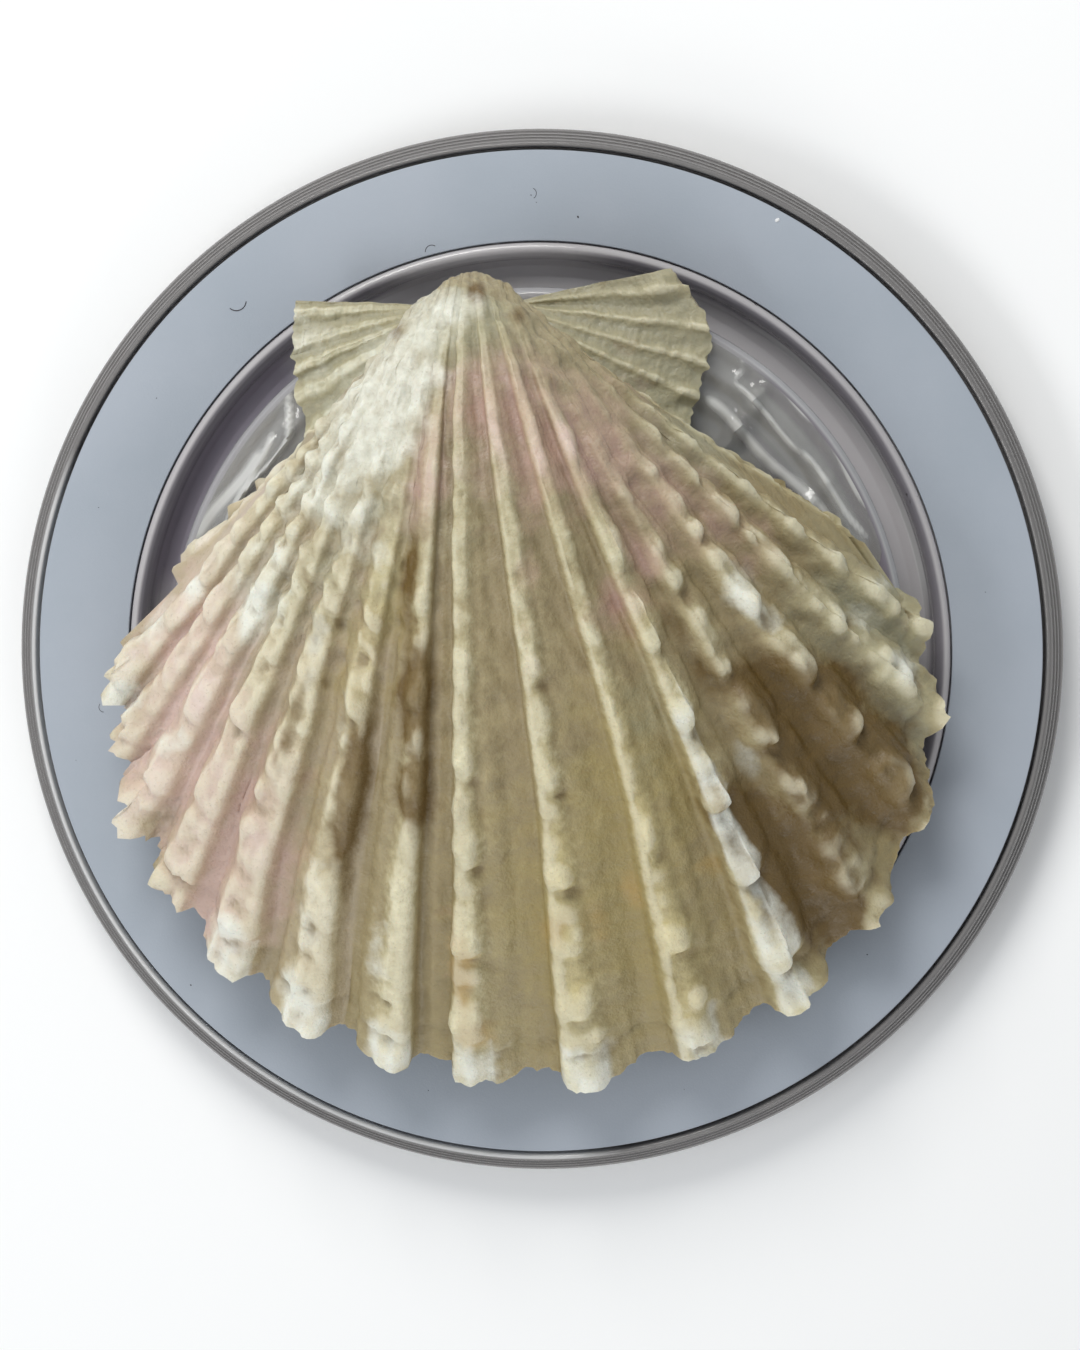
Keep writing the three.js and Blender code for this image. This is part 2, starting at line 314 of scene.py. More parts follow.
def lint_tree(name, hairs):
    """Puts a flattened grain, or a curled hair, on each point at its size and turn."""
    tree = bpy.data.node_groups.new(name, "GeometryNodeTree")
    tree.interface.new_socket("Geometry", in_out="INPUT", socket_type="NodeSocketGeometry")
    thick = tree.interface.new_socket("Thickness", in_out="INPUT", socket_type="NodeSocketFloat")
    finish = tree.interface.new_socket("Finish", in_out="INPUT", socket_type="NodeSocketMaterial")
    tree.interface.new_socket("Geometry", in_out="OUTPUT", socket_type="NodeSocketGeometry")
    given = wire(tree, "NodeGroupInput").outputs
    if hairs:
        bow = wire(tree, "GeometryNodeCurveArc", {"Resolution": 20, "Radius": 1.0, "Sweep Angle": 2.2})
        tip = wire(tree, "GeometryNodeCurvePrimitiveCircle", {"Resolution": 6, "Radius": given["Thickness"]})
        hair = {"Curve": bow.outputs["Curve"], "Profile Curve": tip.outputs["Curve"], "Fill Caps": True}
        thing = wire(tree, "GeometryNodeCurveToMesh", hair).outputs["Mesh"]
    else:
        grain = wire(tree, "GeometryNodeMeshIcoSphere", {"Radius": 0.5, "Subdivisions": 2}).outputs["Mesh"]
        flat = wire(tree, "ShaderNodeCombineXYZ", {0: 1.0, 1: 0.7, 2: given["Thickness"]}).outputs[0]
        thing = wire(tree, "GeometryNodeTransform", {"Geometry": grain, "Scale": flat}).outputs["Geometry"]
    size = wire(tree, "GeometryNodeInputNamedAttribute", {"Name": "size"}, data_type="FLOAT")
    turn = wire(tree, "GeometryNodeInputNamedAttribute", {"Name": "turn"}, data_type="FLOAT")
    laid = wire(tree, "GeometryNodeInstanceOnPoints", {
        "Points": given["Geometry"],
        "Instance": thing,
        "Rotation": wire(tree, "ShaderNodeCombineXYZ", {2: turn.outputs["Attribute"]}).outputs[0],
        "Scale": size.outputs["Attribute"],
    }).outputs["Instances"]
    real = wire(tree, "GeometryNodeRealizeInstances", {"Geometry": laid}).outputs["Geometry"]
    dressed = wire(tree, "GeometryNodeSetMaterial", {"Geometry": real, "Material": given["Finish"]})
    tree.links.new(dressed.outputs["Geometry"], wire(tree, "NodeGroupOutput").inputs["Geometry"])
    return tree, thick.identifier, finish.identifier


def lint_finish(name, dark, light):
    """Dull lint, flecked from dark to light."""
    finish, tree, surface, coords = new_finish(name)
    fleck = spread(tree, speckle(tree, coords, 0.08), 0.35, 0.65)
    tree.links.new(mixed(tree, fleck, dark, light), surface.inputs["Base Color"])
    surface.inputs["Roughness"].default_value = 0.85
    return finish


dark_lint = lint_finish("dark_lint", paint(40, 38, 42), paint(84, 80, 82))
pale_flake = lint_finish("pale_flake", paint(214, 216, 218), paint(244, 244, 244))
for name, rows, hairs, thickness, finish in (
    ("ring_specks", SPECKS, False, 0.5, dark_lint),
    ("ring_hairs", HAIRS, True, 0.05, dark_lint),
    ("ring_flake", FLAKES, False, 0.35, pale_flake),
):
    seeds = points_object(name + "_points", rows)
    tree, thick_id, finish_id = lint_tree(name, hairs)
    maker = seeds.modifiers.new("lay", "NODES")
    maker.node_group = tree
    maker[thick_id] = thickness
    maker[finish_id] = finish
    grown_seeds = seeds.evaluated_get(bpy.context.evaluated_depsgraph_get())
    made = bpy.data.meshes.new_from_object(grown_seeds)
    made.shade_smooth()
    bpy.data.objects.remove(seeds)
    lint = bpy.data.objects.new(name, made)
    bpy.context.scene.collection.objects.link(lint)
    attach(lint, "root")

# ----------------------------------------------------------------------------
# Plate. A clear round plate on a short stem that stands in the well. Its edge is rounded and shallow turned
# ribs run round its top. The shell is glued on it.
# ----------------------------------------------------------------------------

plate_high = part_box("top_plate")[1]
PLATE_RADIUS = plate_high.x / MM
PLATE_TOP = plate_high.z / MM
PLATE_UNDER = 4.4
STEM_RADIUS = 10.0
STEM_FOOT = 13.0
STEM_LIFT = 0.02  # keeps its foot just off the well's floor
PLATE_DISH = 0.37  # how far the plate's face lies under the tops of its ribs
PLATE_RIBS = ((18.5, 0.34), (17.0, 0.2), (19.9, 0.3))  # radius and height of the turned ribs on its top


def plate_top(radius):
    """The height of the plate's upper face at this distance from its middle."""
    ribs = sum(high * np.exp(-((radius - at) / 0.5) ** 2) for at, high in PLATE_RIBS)
    return PLATE_TOP - PLATE_DISH + ribs


plate = turned("top_plate_clear", soft_corners([
    (0, WELL_FLOOR + STEM_LIFT),
    (STEM_FOOT, WELL_FLOOR + STEM_LIFT),
    (STEM_FOOT, WELL_FLOOR + 0.7),
    (STEM_RADIUS, WELL_FLOOR + 1.5),
    (STEM_RADIUS, PLATE_UNDER),
    (PLATE_RADIUS - 0.6, PLATE_UNDER),
    (PLATE_RADIUS, PLATE_UNDER + 0.6),
    (PLATE_RADIUS, PLATE_TOP - 0.7),
    *[(r, float(plate_top(r))) for r in np.linspace(PLATE_RADIUS - 0.25, 15.4, 44)],
    (0, float(plate_top(0))),
], 0.2, 4))
# Painted light on the plate's right side: arcs of painted highlight and painted shade over its edge and
# turned ribs.
PLATE_SHADE_AND_HIGHLIGHT_BANDS = [
    (19.6, 0.5, 68, 26, SHADE_PURPLE),
    (16.9, 0.6, 64, 20, SHADE_PURPLE),
    (20.3, 0.3, 68, 30, HIGHLIGHT_PALE),
    (18.7, 0.45, 66, 26, HIGHLIGHT_PALE),
    (17.7, 0.2, 62, 22, HIGHLIGHT_PALE),
]
smoky_plate = clear_plastic("smoky_plate", paint(222, 220, 222), 0.6, 30, 2.4, bands=PLATE_SHADE_AND_HIGHLIGHT_BANDS)
plate.data.materials.append(smoky_plate)
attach(plate, "root")
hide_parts("top_plate")

# ----------------------------------------------------------------------------
# Shell. One valve of a scallop, grown as a single piece: each old margin is a smaller copy of the present
# one, turned back about the hinge. Ribs run out from the beak and carry a raised scale at each growth stop.
# ----------------------------------------------------------------------------

shell_low, shell_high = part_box("scallop_shell")
BEAK = np.array([-3.6, 19.35])
COIL_DEG = 37.0  # how far a margin e times smaller is turned back about the hinge
COIL_TIGHTER = 0.35  # how much more tightly the beak is coiled
COIL_MOST_DEG = 165.0
GROWTH_START = 0.05
OUTER_ROWS = 137
INNER_STEP = 8  # the inner face has one row for so many of the outer face's
RIB_BEARINGS_DEG = [-96, -86, -75, -62, -49, -34.5, -20.5, -7, 8.5, 25, 42, 59.5, 77, 93, 106]
DISC_CENTRE = (3.1, -22.5)
DISC_HALF = (22.1, 19.55)
DISC_FROM_DEG, DISC_TO_DEG = -101.0, 112.0
RIB_HEIGHT = 1.5
LOBE = 0.5  # how far the margin stands out at each rib from where it lies at each groove, in mm
LEFT_EAR = [(-9.5, 0.3), (-9.6, -2.2), (-9.4, -4.6), (-8.6, -7.6)]
LEFT_FLANK = [(-8, -8.8), (-11.7, -10.9), (-16.2, -15.2)]
RIGHT_FLANK = [(21.6, -13), (17.3, -9.9), (12.6, -7.6)]
RIGHT_EAR = [(11.8, -6.9), (12.6, -4.4), (13.1, -1.2), (11, 2)]
EAR_LUMP = (10.5, 1.2)  # a lump at the corner of the right ear
WHITE_RIB = 18  # its crest is worn white and its scales stand out most
LAST_LEFT_RIB = 14  # ribs up to this one are steep on their right, the others on their left
SCALE_STEPS = 7.7  # how many scales follow each other on a rib, besides those crowded at the beak
RIDGE_SIDE = 0.17  # how far a crest lies to the steep side of its rib, as a share of the rib's width
RIDGE_CLIMB = 0.13  # how wide the steep slope is, as the same share
BOW = 1.4  # how far the middle ribs bow out, in mm


def smooth_path(corners, count):
    """Evenly timed points on a smooth curve through the corners."""
    knots = np.array([corners[0], *corners, corners[-1]], float)
    at = np.linspace(0, len(corners) - 1, count)
    k = np.minimum(at.astype(int), len(corners) - 2)
    t = (at - k)[:, None]
    a, b, c, d = (knots[k + i] for i in range(4))
    return b + 0.5 * t * (c - a + t * (2 * a - 5 * b + 4 * c - d + t * (3 * b - a - 3 * c + d)))


def rise(value, start, end):
    """Goes smoothly from 0 to 1 between start and end."""
    t = np.clip((value - start) / (end - start), 0, 1)
    return t * t * (3 - 2 * t)


def hump(value, middle, width):
    """1 at the middle, fading to nothing over about this width on either side."""
    return np.exp(-((value - middle) / width) ** 2)


def ripples(size, seed, *axes):
    """Smooth seeded noise from about -1 to 1, with features of about this size along the coordinates."""
    draw = np.random.default_rng(seed)
    total = 0
    for _ in range(9):
        way = draw.normal(size=len(axes))
        way /= np.linalg.norm(way)
        turns = sum(share * axis for share, axis in zip(way, axes)) / (size * draw.uniform(0.6, 1.6))
        total = total + np.sin(2 * math.pi * turns + draw.uniform(0, 2 * math.pi))
    return total / 4.5


def averaged(field, down, along):
    """The field's mean over this many rows and columns on either side of each point."""
    for axis, reach in ((0, down), (1, along)):
        for _ in range(2):
            pad = [(0, 0), (0, 0)]
            pad[axis] = (reach + 1, reach)
            total = np.cumsum(np.pad(field, pad, mode="edge"), axis=axis)
            size = field.shape[axis]
            ahead = np.take(total, range(2 * reach + 1, 2 * reach + 1 + size), axis=axis)
            field = (ahead - np.take(total, range(size), axis=axis)) / (2 * reach + 1)
    return field


def ribbed_stretch(path, ribs, height, first_rib):
    """Margin with evenly spaced small ribs: its points, places across a rib, rib numbers and heights."""
    share = np.linspace(0, ribs, len(path))
    number = np.minimum(share.astype(int), ribs - 1)
    return path, share - number - 0.5, number + first_rib, np.full(len(path), height)


def disc_stretch(count, first_rib):
    """The round, ribbed margin of the disc."""
    bearing = np.linspace(DISC_FROM_DEG, DISC_TO_DEG, count)
    middles = np.array(RIB_BEARINGS_DEG, float)
    edges = np.concatenate([[DISC_FROM_DEG], (middles[1:] + middles[:-1]) / 2, [DISC_TO_DEG]])
    number = np.clip(np.searchsorted(edges, bearing) - 1, 0, len(middles) - 1)
    off = bearing - middles[number]
    half_width = np.where(off < 0, middles[number] - edges[number], edges[number + 1] - middles[number])
    across = 0.5 * off / half_width
    grow = LOBE * (1 - rise(abs(across), 0.2, 0.42) - 0.5) + 0.1 * ripples(7, 3, bearing)
    angle = np.radians(bearing)
    x = DISC_CENTRE[0] + (DISC_HALF[0] + grow) * np.sin(angle)
    y = DISC_CENTRE[1] - (DISC_HALF[1] + grow) * np.cos(angle)
    return np.stack([x, y], 1), across, number + first_rib, np.full(count, RIB_HEIGHT)


stretches = [
    ribbed_stretch(smooth_path(LEFT_EAR, 70), 5, 0.3, 0),
    ribbed_stretch(smooth_path(LEFT_FLANK, 44), 3, 0.8, 5),
    disc_stretch(400, 8),
    ribbed_stretch(smooth_path(RIGHT_FLANK, 44), 2, 0.5, 23),
    ribbed_stretch(smooth_path(RIGHT_EAR, 70), 5, 0.3, 25),
]
margin, across, rib, rib_height = (np.concatenate(parts) for parts in zip(*stretches))
on_ear = (rib < 5) | (rib >= 25)
columns = len(margin)
arc = np.concatenate([[0], np.cumsum(np.linalg.norm(np.diff(margin, axis=0), axis=1))])

growth = (GROWTH_START + (1 - GROWTH_START) * np.linspace(0, 1, OUTER_ROWS) ** 1.15)[:, None]
tighter = 1 + COIL_TIGHTER * (1 - growth) ** 4
coil = np.radians(np.minimum(COIL_DEG * np.log(1 / growth) * tighter, COIL_MOST_DEG))
reach = -growth * margin[:, 1]
skin = np.stack([
    growth * margin[:, 0],
    -reach * np.cos(coil),
    np.maximum(0, reach * np.sin(coil)),
], -1)
# The middle ribs bow out a little to the right on their way to the margin.
place = rib + across
skin[..., 0] += BOW * hump(growth, 0.63, 0.33) * hump(place, 16.8, 1.8)


def unit(vectors):
    """The vectors, each made one long."""
    return vectors / np.maximum(np.linalg.norm(vectors, axis=-1, keepdims=True), 1e-12)


def along_ribs(size, seed, rib_step=0.37, aside=0.0):
    """Noise that changes along each rib and from rib to rib, and across a rib too where aside is given."""
    return ripples(size, seed, growth + 0 * rib, aside * across + rib_step * rib)


def in_space(size, seed):
    """Noise that changes with the place on the skin, whichever rib it is on."""
    return ripples(size, seed, skin[..., 0], skin[..., 1], skin[..., 2])


sideways = unit(np.gradient(skin, axis=1))
outwards = unit(np.gradient(skin, axis=0))
normal = unit(np.cross(outwards, sideways))

# The ribs differ round the disc: low and broad with lumpy edges on the left, a narrow ridge with a soft right
# side in the middle, and rows of separate scales on the right. The left flank has upturned, hollow scales.
left = 1 - rise(rib, 12.5, 14.5)
right = rise(rib, 17.2, 19.2) * (1 - on_ear)
far_right = rise(rib, 20.5, 23)
middle = (1 - left) * (1 - right) * (1 - on_ear)
flank = rise(-rib, -12.5, -9.5) * (1 - on_ear)

# Scales: along a rib the crest swells outwards, ends in a lip, and starts again lower and narrower. Each
# scale has its own luck, which decides how strongly it stands out.
draw = np.random.default_rng(11)
rib_shift = draw.uniform(-0.3, 0.3, rib.max() + 1)[rib]
stops = SCALE_STEPS * (1 - growth) + np.log(1 / growth) + 0.42
bulging = 0.07 * (1 - np.minimum(1, (across / 0.28) ** 2))
phase = stops + rib_shift + 0.34 * along_ribs(0.35, 5, 0.23) + bulging
stop_number = np.floor(phase).astype(int)
saw = 1 - (phase - stop_number)
swell = saw * (1 - rise(saw, 0.72, 1.0))
lip = saw ** 3 * (1 - rise(saw, 0.76, 1.0))
stop_number -= stop_number.min()
each_scale = draw.uniform(0.0, 1.0, (rib.max() + 1, stop_number.max() + 1))
luck = each_scale[rib[None, :], stop_number]
boldness = 0.6 * middle + 0.36 * right * (1 - 0.5 * far_right) + 0.32 * left + 0.5 * flank
strength = (0.25 + 0.75 * luck) * boldness * np.where(rib == WHITE_RIB, 1.8, 1) * rise(growth, 0.12, 0.45)
cone = strength * (1 - 0.55 * middle * (rib != WHITE_RIB))

# A rib's section: leaning runs from its steep side to its soft side, the flat crest lies between ridge_at and
# crest_end, and fold takes both slopes down to the grooves. Neighbours that meet leave a shallow groove.
leaning = across * np.where(rib <= LAST_LEFT_RIB, -1, 1)
ridge_at = -RIDGE_SIDE - 0.05 * left
flat = 0.08 + 0.18 * left + 0.06 * right
flat = flat + middle * (0.09 * rise(growth, 0.66, 0.95) + 0.13 * (1 - rise(growth, 0.3, 0.6)))
flat = flat + (cone * (0.12 - 0.05 * right) + 0.07 * (rib == WHITE_RIB)) * swell ** 1.5
flat = flat + (0.02 + 0.02 * left) * along_ribs(0.06, 37)
crest_end = ridge_at + flat
on_top = 1 - rise(leaning, crest_end - 0.02, crest_end + 0.2)
crest = rise(leaning, ridge_at - RIDGE_CLIMB, ridge_at) * on_top
foot = (ridge_at - RIDGE_CLIMB) * middle - 0.5 * (1 - middle)
meeting = 0.25 * rise(place, 13, 14.5) * (1 - rise(place, 17, 18.5))
falling = np.clip((leaning - crest_end + 0.1) / (0.6 - crest_end), 0, 1)
falling = middle * falling + (1 - middle) * falling ** 2 * (3 - 2 * falling)
tail = meeting * (1 - np.clip((leaning + 0.5) / (foot + 0.501), 0, 1))
fold = np.where(leaning < foot, tail, rise(leaning, foot, ridge_at) * (1 - (1 - meeting) * falling))
body = crest + (1 - crest) * fold * (0.5 + 0.14 * growth)

# What stands on a rib: a knob near each scale's lip, a hollow behind it, and lumps and warts from wear.
lumpy = 1 + 0.2 * along_ribs(0.09, 7, 0.31) + 0.1 * along_ribs(0.035, 8, 0.17)
knob = hump(saw, 0.8, 0.12) * hump(leaning, ridge_at + 0.09 + 0.06 * left, 0.12)
hollow = hump(saw, 0.0, 0.1) * hump(leaning, ridge_at + 0.16, 0.12)
hollow = (hollow + hump(saw, 1.0, 0.06) * hump(leaning, ridge_at + 0.18, 0.09)) * (1 - 0.8 * left)
between_scales = 1 - rise(saw, 0.08, 0.5) * (1 - rise(saw, 0.85, 1.0))
blob = 1 - (0.38 * right + 0.06 * middle) * between_scales
warts = np.maximum(0, along_ribs(0.045, 43, 0.37, 0.11)) ** 2
lumps = (0.08 + 0.1 * left + 0.12 * right) * (1 - on_ear) * in_space(2.2, 67)
stand = body * lumpy * blob * (0.85 + 0.3 * cone * (swell + lip)) + 0.5 * strength * (knob - hollow)
stand = stand + 0.26 * body * warts * rise(growth, 0.3, 0.6) * (1 - 0.6 * left)
stand = stand + body * lumps * rise(growth, 0.25, 0.5)

# The relief in millimetres: the ribs, strands along them, rest lines across them, and unevenness in space.
showing = 0.1 + 0.9 * rise(growth, 0.08 + 0.2 * left + 0.14 * right, 0.28 + 0.3 * left + 0.26 * right)
size_now = rib_height * growth ** 0.8 * showing
lowered = 0.5 * flank + (0.42 + 0.22 * rise(growth, 0.8, 1)) * far_right * right
rest_line = stops + 0.3 * ripples(9, 29, arc + 0 * growth)
since_rest = rest_line - np.floor(rest_line)
shoulder = hump(growth, 0.42, 0.2) * (left + 0.4 * middle + 0.5 * right) * (1 - on_ear)
beak_knob = (1 - rise(growth, 0.2, 0.36)) * (1 - 0.5 * on_ear)
ear_lump = on_ear * hump(np.hypot(skin[..., 0] - EAR_LUMP[0], skin[..., 1] - EAR_LUMP[1]), 0, 0.9)
calm = 1 - 0.4 * on_ear
height = sum([
    size_now * stand * (1 - lowered),
    (0.012 + 0.055 * left) * growth * ripples(0.16, 13, place, 0.25 * growth),
    0.06 * growth * (1 - since_rest) ** 4 * (1 - 0.5 * middle),
    -0.22 * hump(growth, 0.962, 0.006) * rise(arc, 20, 40) * (1 - on_ear),
    0.3 * shoulder * in_space(1.1, 47),
    0.2 * beak_knob * in_space(1.3, 53),
    0.45 * ear_lump,
    0.1 * growth * in_space(1.8, 17),
    0.045 * calm * in_space(0.6, 19),
    0.02 * calm * body * in_space(0.28, 21),
])
push = 0.5 * growth * body * rise(saw, 0.6, 0.88) * (1 - rise(saw, 0.93, 1)) * cone * (1 - 0.6 * right)
sway = (0.08 + 0.1 * right + 0.1 * left) * growth * along_ribs(0.2, 23)
curl = 0.9 * growth * flank * strength * body * lip

# The margin is chipped, and frilled out a little along the left flank.
along_margin = unit(np.gradient(margin, axis=0))
clear_out = np.stack([along_margin[:, 1], -along_margin[:, 0], np.zeros(columns)], -1)
clear_out = clear_out * np.sign(clear_out[columns // 2, 1]) * -1
frill = (0.16 + 0.3 * flank) * (ripples(1.9, 59, arc) + 0.7 * ripples(0.7, 61, arc))
frill = frill + 0.35 * ((rib >= 5) & (rib <= 8))
outer = skin + normal * (height + curl)[..., None] + outwards * push[..., None] + sideways * sway[..., None]
outer = outer + (rise(growth, 0.88, 1.0) * frill)[..., None] * clear_out
inner_rows = np.arange(0, OUTER_ROWS, INNER_STEP)
thickness = (1.1 - 0.3 * growth) * np.minimum(1, growth / 0.25) * (1 - 0.4 * on_ear)
inside = size_now * body * rise(growth, 0.5, 1) * 0.55 - thickness
inner = (skin + normal * inside[..., None])[inner_rows]

# How far each point stands over its neighbourhood decides how clean and pale it is.
near_lip = rise(saw, 0.2, 0.7)
dabs = 0.8 * left + middle * (0.75 + 0.25 * near_lip) + right * (0.4 + 0.3 * near_lip) + 0.7 * on_ear
dabs = dabs * (0.8 + 0.28 * along_ribs(0.1, 41, 0.43, 0.2))
over_pores = (height - averaged(height, 2, 3)) / (0.16 + 0.1 * size_now)
over_pores = over_pores * (0.35 + 0.65 * rise(growth, 0.25, 0.6))


def sheet_faces(rows, start, tip, turned_over=False):
    """Faces of a sheet of rows and columns, closed to its tip; turned over for the inner face."""
    at = start + np.arange(rows * columns).reshape(rows, columns)
    quads = np.stack([at[:-1, :-1], at[1:, :-1], at[1:, 1:], at[:-1, 1:]], -1).reshape(-1, 4)
    fan = np.stack([np.full(columns - 1, tip), at[0, :-1], at[0, 1:]], -1)
    if turned_over:
        quads, fan = quads[:, ::-1], fan[:, ::-1]
    return quads.tolist() + fan.tolist()


def scallop_mesh():
    """The outer and inner faces, joined along the margin and along both halves of the hinge."""
    rows_inside = inner.shape[0]
    outer_count, inner_count = OUTER_ROWS * columns, rows_inside * columns
    outer_tip = outer_count + inner_count
    inner_tip = outer_tip + 1
    tips = [outer[0].mean(0)], [inner[0].mean(0)]
    points = np.concatenate([outer.reshape(-1, 3), inner.reshape(-1, 3), *tips])
    faces = sheet_faces(OUTER_ROWS, 0, outer_tip)
    faces += sheet_faces(rows_inside, outer_count, inner_tip, turned_over=True)
    over = np.arange(outer_count).reshape(OUTER_ROWS, columns)
    under = outer_count + np.arange(inner_count).reshape(rows_inside, columns)
    for i in range(columns - 1):
        faces.append([over[-1, i + 1], over[-1, i], under[-1, i], under[-1, i + 1]])
    for j in range(rows_inside - 1):
        hinge = slice(j * INNER_STEP, (j + 1) * INNER_STEP + 1)
        faces.append([*over[hinge, -1], under[j + 1, -1], under[j, -1]])
        faces.append([*over[hinge, 0][::-1], under[j, 0], under[j + 1, 0]])
    faces.append([outer_tip, over[0, -1], under[0, -1], inner_tip])
    faces.append([over[0, 0], outer_tip, inner_tip, under[0, 0]])
    return points, [[int(k) for k in face] for face in faces]


points, faces = scallop_mesh()
floor_now, top_now = points[:, 2].min(), points[:, 2].max()
squeeze = min(1, (shell_high.z - shell_low.z) / MM / (top_now - floor_now))
points[:, 2] = shell_low.z / MM + (points[:, 2] - floor_now) * squeeze
points[:, :2] += BEAK
shell = new_piece("scallop_valve", points, faces, sharp_deg=75)


def stains(patches):
    """How strongly each point is stained. A patch: x, y, width, length in mm, turn in degrees, strength."""
    clear = np.ones(len(points))
    for x, y, wide, long, turned_deg, amount in patches:
        turn = math.radians(turned_deg)
        dx, dy = points[:, 0] - x, points[:, 1] - y
        u = (dx * math.cos(turn) - dy * math.sin(turn)) / wide
        v = (dx * math.sin(turn) + dy * math.cos(turn)) / long
        clear *= 1 - amount * np.exp(-(u * u + v * v))
    return 1 - clear


# Where the old shell is pinkish, brown, yellowish, worn white, orange and greenish.
PINK = [
    (-1.6, 14.6, 2.6, 2.6, 0, 0.8), (1.8, 12.2, 4, 3, -30, 0.75), (6.5, 9.5, 4.5, 2.4, 25, 0.6),
    (3.9, 10.9, 0.9, 1.3, -30, 0.9), (6.3, 6.2, 0.8, 1.4, -35, 1.0), (5.0, 3.6, 1.6, 1.8, 0, 0.7),
    (-5.2, 10.5, 1.2, 4, 10, 0.7), (12, 6.5, 3, 1.6, 30, 0.4), (-18.5, 1.6, 3.2, 4, 35, 0.75),
    (-19.4, -5, 3.8, 5, 30, 1.0), (-16.0, -9, 2.6, 5, 25, 0.9), (-18.2, -14, 2.5, 3, 0, 0.85),
    (-14.4, -12, 2, 5, 20, 0.5), (0.2, 4, 0.8, 6, 0, 0.35), (-3.6, -17, 1.4, 4, 0, 0.3),
]
BROWN = [
    (12.9, -1.0, 2.0, 2.2, -40, 1.0), (15.9, -1.0, 1.8, 1.4, 0, 1.0), (17.4, -4.6, 3.2, 3.2, 0, 0.65),
    (14.6, -10.4, 3.0, 3.6, -30, 0.6), (15.8, -4.6, 2.2, 4.6, -48, 1.0), (19.2, -6.6, 1.6, 2.8, -45, 1.0),
    (11.6, -8.6, 1.4, 4.0, -35, 1.0), (14.2, -12.2, 2.0, 3.6, -35, 0.95),
    (16.5, -13.4, 1.8, 2.0, -30, 0.75), (-9.4, -6.6, 0.9, 4.6, 11, 1.0), (-5.8, -1.4, 1.0, 3.2, 5, 1.0),
    (-5.9, -6.6, 0.9, 2.2, 5, 0.95), (-6.0, 5.2, 0.6, 2.4, 8, 0.8), (-12.4, -2.4, 0.5, 4, 20, 0.45),
    (8.6, 1.2, 0.8, 2.5, -30, 0.4), (-0.6, 18.6, 0.5, 0.6, 0, 0.5), (-2.9, 20.0, 0.5, 0.6, 0, 0.9),
    (-7.2, 17.9, 0.5, 0.5, 0, 0.9),
]
YELLOW = [
    (3.4, -13.4, 7, 8, 0, 0.85), (6.0, -5.6, 3.2, 5, -15, 0.85), (5.6, 3.4, 1.2, 1.8, 0, 0.7),
    (-7, 5, 1.6, 3.4, 10, 0.7), (-9, 0, 3, 6, 14, 0.5), (7.4, -15.5, 1.4, 5, -18, 0.8),
    (-12.5, -9, 1.2, 4, 16, 0.5), (0.8, 11.2, 1.0, 3.0, -14, 0.6),
]
WHITE = [
    (-13.0, -18.2, 1.6, 1.4, 0, 0.6), (-22.6, -1.9, 1.2, 1.2, 0, 1.0), (-21.0, 2.6, 1.0, 1.4, 20, 1.0),
    (-18.3, 4.0, 0.7, 0.8, 0, 0.8), (-14.8, 2.6, 0.7, 1.4, 15, 0.9), (-16.6, -14.6, 1.2, 1.0, 0, 0.95),
    (-8.0, 14.6, 3.0, 2.4, -20, 0.7), (-6.6, 17.4, 2.2, 1.4, -10, 0.45), (-9.2, 11.6, 2.6, 2.4, 0, 0.5),
    (-4.6, 19.0, 2.2, 1.2, 0, 0.8), (11.3, 4.0, 0.9, 1.6, -30, 0.75), (12.9, 2.4, 0.7, 1.0, -30, 0.6),
    (11.6, -4.8, 0.7, 1.3, -30, 0.75), (17.9, 2.6, 1.4, 0.7, 10, 0.75), (20.2, -0.2, 0.9, 1.4, -30, 0.7),
    (19.2, 4.6, 0.9, 0.6, 0, 0.6), (-11.4, 0.4, 0.8, 2.2, 16, 0.45), (-9.9, -3.0, 0.7, 2.4, 12, 0.4),
    (-12.9, 17.2, 1.7, 2.2, 0, 0.45), (-6.0, 15.5, 1.7, 2.0, 0, 0.5), (-11.5, 9.4, 3.4, 2.6, 0, 0.5),
    (-8.4, 6.6, 1.6, 1.6, 0, 0.45), (-13.4, 5.6, 1.6, 1.6, 0, 0.45), (-14.4, 3.4, 2.2, 2.4, 15, 0.4),
    (-12.0, -13.2, 0.9, 3.6, 14, 0.42), (-8.4, -15.8, 0.9, 3.6, 8, 0.4), (-7.4, 12.4, 1.8, 1.8, 0, 0.5),
    (-19.6, -4.4, 1.4, 1.2, 0, 0.4),
]
ORANGE = [
    (-3.6, -15.9, 0.8, 1.4, 0, 1.0), (-3.7, -18.4, 0.6, 1.5, 0, 0.7), (1.3, -14.4, 0.7, 1.5, 0, 0.7),
    (5.5, -11.9, 0.7, 1.3, -15, 0.7), (-3.2, -20.5, 1.1, 0.9, 0, 1.0), (9.4, -10.6, 1.0, 1.0, 0, 0.5),
    (3.4, -13.6, 1.2, 1.2, 0, 0.5),
]
GREEN = [
    (18.6, 2.4, 5, 5, 0, 0.8), (-9, 10, 6, 7, 0, 0.6), (-3.4, 18.6, 3, 1.6, 0, 0.9), (-14, 4, 4, 3, 0, 0.5),
    (20.5, -3.5, 2, 4, 0, 0.7), (9, 13, 4, 3.4, 0, 0.7), (6.5, -2.5, 1.6, 3.4, -15, 0.5),
    (-4.6, 17.0, 3, 2.6, 0, 0.5),
]

# The crest of one rib is worn white for most of its length, and the lowest ribs end in a white cap.
bleached = (rib == WHITE_RIB) * rise(growth, 0.52, 0.62) * rise(body, 0.4, 0.9)
capped = rise(growth, 0.925, 0.955) * (rib >= 12) * (rib <= 17) * rise(body, 0.15, 0.6)
white_crest = 0.6 * np.maximum(bleached, capped) * (0.85 + 0.25 * along_ribs(0.07, 71, 0, 0.5))
